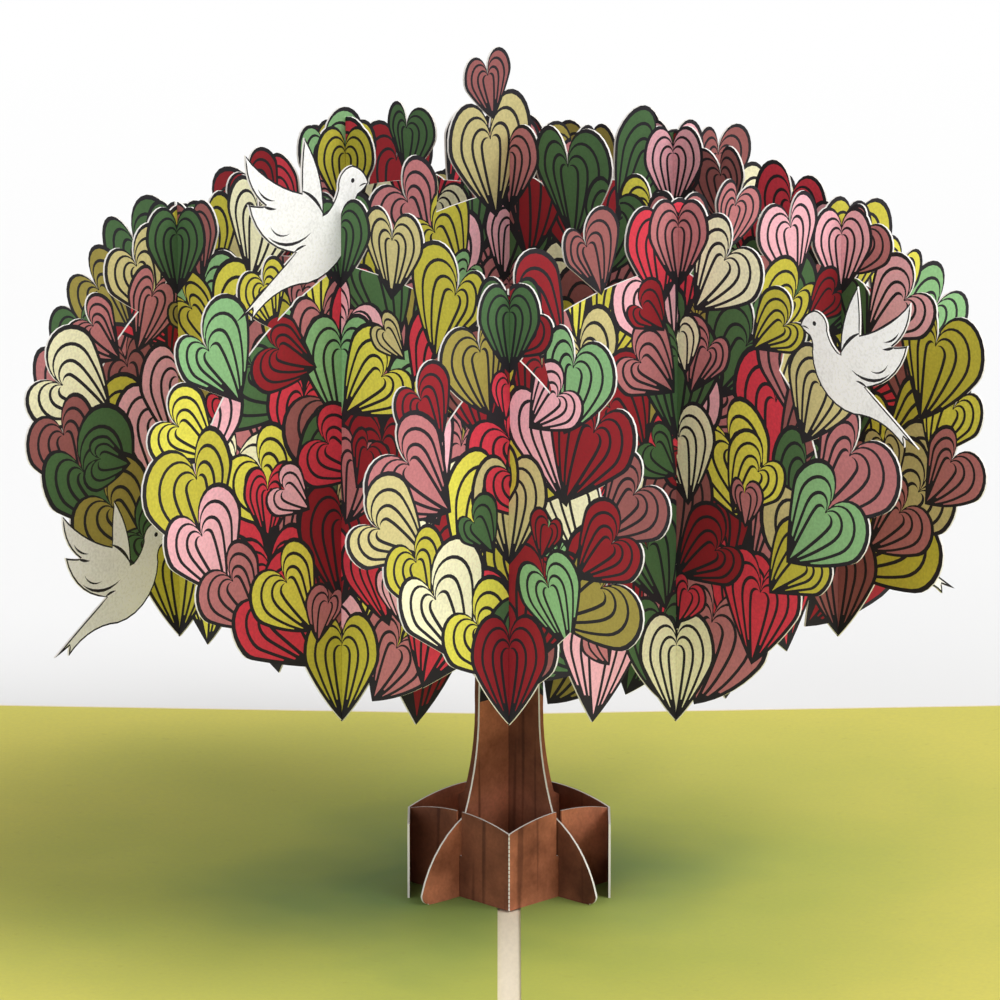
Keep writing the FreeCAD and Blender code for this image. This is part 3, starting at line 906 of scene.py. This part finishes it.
def page_material():
    """The page print: green round the tree, deepened near its foot with painted shade, fading to
    yellow green at the card's edges.
    """
    material, nodes, links, shader, place = new_material("page_green", 0.75)
    spot = split(nodes, links, place)
    x = calculated(nodes, links, "ADD", spot["X"], PAGE_MIDDLE_LEFT)
    y = calculated(nodes, links, "ADD", spot["Y"], PAGE_MIDDLE_FRONT)
    x, y = [calculated(nodes, links, "POWER", value, 2) for value in (x, y)]
    reach = calculated(nodes, links, "SQRT", calculated(nodes, links, "ADD", x, y))
    clouds = ranged(nodes, links, noise(nodes, links, place, 22, 3), 0.3, 0.7, -0.012, 0.012)
    reach = calculated(nodes, links, "ADD", reach, clouds)
    # Painted shade: darkest near the tree's foot, a little to its left, where the green is partly
    # print and partly painted shadow
    inner = ranged(nodes, links, reach, *NEAR_FADE, 0, 1)
    outer = ranged(nodes, links, reach, *FAR_FADE, 0, 1)
    colour = mixed(nodes, links, "MIX", inner, linear(PAGE_NEAR_GREEN_AND_SHADE), linear(PAGE_MIDDLE))
    colour = mixed(nodes, links, "MIX", outer, colour, linear(PAGE_FAR))
    grain = noise(nodes, links, place, 1500, 4)
    fleck = ranged(nodes, links, noise(nodes, links, place, 500, 3), 0.66, 0.74, 0, 0.12)
    colour = mixed(nodes, links, "MIX", fleck, colour, linear(PAGE_FLECK))
    fine = ranged(nodes, links, grain, 0.3, 0.7, 0.965, 1.035)
    colour = mixed(nodes, links, "MULTIPLY", 1.0, colour, grey(nodes, links, fine))
    links.new(colour, shader.inputs["Base Color"])
    links.new(ranged(nodes, links, grain, 0.3, 0.7, 0.68, 0.82), shader.inputs["Roughness"])
    add_bump(nodes, links, shader, grain, 0.12, 0.00005)
    return material


def cover_material():
    """Cream card with soft fibres."""
    material, nodes, links, shader, place = new_material("cream_card", 0.8)
    stretch = nodes.new("ShaderNodeMapping")
    stretch.inputs["Scale"].default_value = (1, 0.25, 1)
    links.new(place, stretch.inputs["Vector"])
    fibre = noise(nodes, links, stretch.outputs["Vector"], 1800, 4)
    level = ranged(nodes, links, fibre, 0.3, 0.7, 0.95, 1.04)
    colour = mixed(nodes, links, "MULTIPLY", 1.0, linear(COVER_CREAM), grey(nodes, links, level))
    links.new(colour, shader.inputs["Base Color"])
    add_bump(nodes, links, shader, fibre, 0.2, 0.00006)
    return material


def seen_straight(nodes, links):
    """Whether a ray comes from the camera, a reflection or through glass."""
    rays = nodes.new("ShaderNodeLightPath").outputs
    seen = calculated(nodes, links, "MAXIMUM", rays["Is Camera Ray"], rays["Is Glossy Ray"])
    return calculated(nodes, links, "MAXIMUM", seen, rays["Is Transmission Ray"])


def floor_material():
    """A pale floor that keeps shadows near the card and fades to white far behind it."""
    material, nodes, links, shader, place = new_material("pale_floor", 0.9)
    level = ranged(nodes, links, noise(nodes, links, place, 6, 2), 0.3, 0.7, 0.86, 0.88)
    links.new(grey(nodes, links, level), shader.inputs["Base Color"])
    far = ranged(nodes, links, split(nodes, links, place)["Y"], *FLOOR_FADE, 0, 1)
    share = calculated(nodes, links, "MULTIPLY", seen_straight(nodes, links), far)
    white = nodes.new("ShaderNodeEmission")
    mix = nodes.new("ShaderNodeMixShader")
    links.new(share, mix.inputs["Fac"])
    links.new(shader.outputs["BSDF"], mix.inputs[1])
    links.new(white.outputs["Emission"], mix.inputs[2])
    links.new(mix.outputs["Shader"], nodes["Material Output"].inputs["Surface"])
    return material


def make_materials():
    """Every material of the card by name."""
    materials = {}
    for name, rgb in INKS.items():
        materials[name] = ink_material("ink_" + name, rgb, INK_MOTTLE)
    materials["edge"] = ink_material("paper_edge", EDGE_WHITE, EDGE_MOTTLE)
    materials["bark"] = bark_material()
    return materials


def dress_card():
    """Materials on the solids that keep their own shape."""
    page = page_material()
    collar = collar_material()
    dressed = {
        "card_cover": cover_material(),
        "left_page": page,
        "right_page": page,
        "collar_front": collar,
        "collar_back": collar,
    }
    for name, material in dressed.items():
        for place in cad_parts[name].material_slots:
            place.material = material


def make_slices():
    """The printed slices in place of their plain solids."""
    materials = make_materials()
    for name, (angle, place) in SLICES.items():
        masks, prints = slice_prints(name)
        cuts = slot_outlines(angle, place)
        offset = place * SLICE_SPACING
        piece = sheet_mesh("printed_" + name, angle, offset, masks, cuts, prints, materials)
        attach(piece, "root")
        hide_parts(name)


CAMERA_DISTANCE = 1.5
CAMERA_RISE = 14.45
CAMERA_AIM = (-0.00125, 0, 0.0557)
CAMERA_LENS = 391.6
FLOOR_SIZE = 12.0
FLOOR_FADE = (0.1, 0.55)
WORLD_LEVEL = 0.48

# Soft suns: strength, spread in degrees and the way towards each
LIGHTS = (
    ("key", 2.2, 42, (0.58, -0.29, 0.73)),
    ("fill", 0.75, 60, (-0.45, -0.80, 0.35)),
)


def make_stage():
    """The floor, the lights and the camera."""
    mesh = bpy.data.meshes.new("floor")
    half = FLOOR_SIZE / 2
    corners = [(-half, -half, 0), (half, -half, 0), (half, half, 0), (-half, half, 0)]
    mesh.from_pydata(corners, [], [(0, 1, 2, 3)])
    mesh.materials.append(floor_material())
    floor = bpy.data.objects.new("floor", mesh)
    bpy.context.scene.collection.objects.link(floor)

    for name, strength, angle, way in LIGHTS:
        sun = bpy.data.lights.new(name, "SUN")
        sun.energy = strength
        sun.angle = math.radians(angle)
        lamp = bpy.data.objects.new(name, sun)
        lamp.rotation_euler = Vector(way).to_track_quat("Z", "Y").to_euler()
        bpy.context.scene.collection.objects.link(lamp)

    world = bpy.data.worlds.new("studio")
    bpy.context.scene.world = world
    world.use_nodes = True
    nodes, links = world.node_tree.nodes, world.node_tree.links
    back = nodes["Background"]
    strength = ranged(nodes, links, seen_straight(nodes, links), 0, 1, WORLD_LEVEL, 1)
    links.new(strength, back.inputs["Strength"])
    back.inputs["Color"].default_value = (1, 1, 1, 1)

    camera = bpy.data.cameras.new("camera")
    camera.lens = CAMERA_LENS
    camera.clip_start = 0.01
    camera.clip_end = 50
    viewer = bpy.data.objects.new("camera", camera)
    rise = math.radians(CAMERA_RISE)
    away = Vector((0, -math.cos(rise), math.sin(rise)))
    viewer.location = Vector(CAMERA_AIM) + away * CAMERA_DISTANCE
    viewer.rotation_euler = away.to_track_quat("Z", "Y").to_euler()
    bpy.context.scene.collection.objects.link(viewer)
    bpy.context.scene.camera = viewer
    bpy.context.scene.view_settings.view_transform = "Standard"


dress_card()
make_slices()
make_stage()
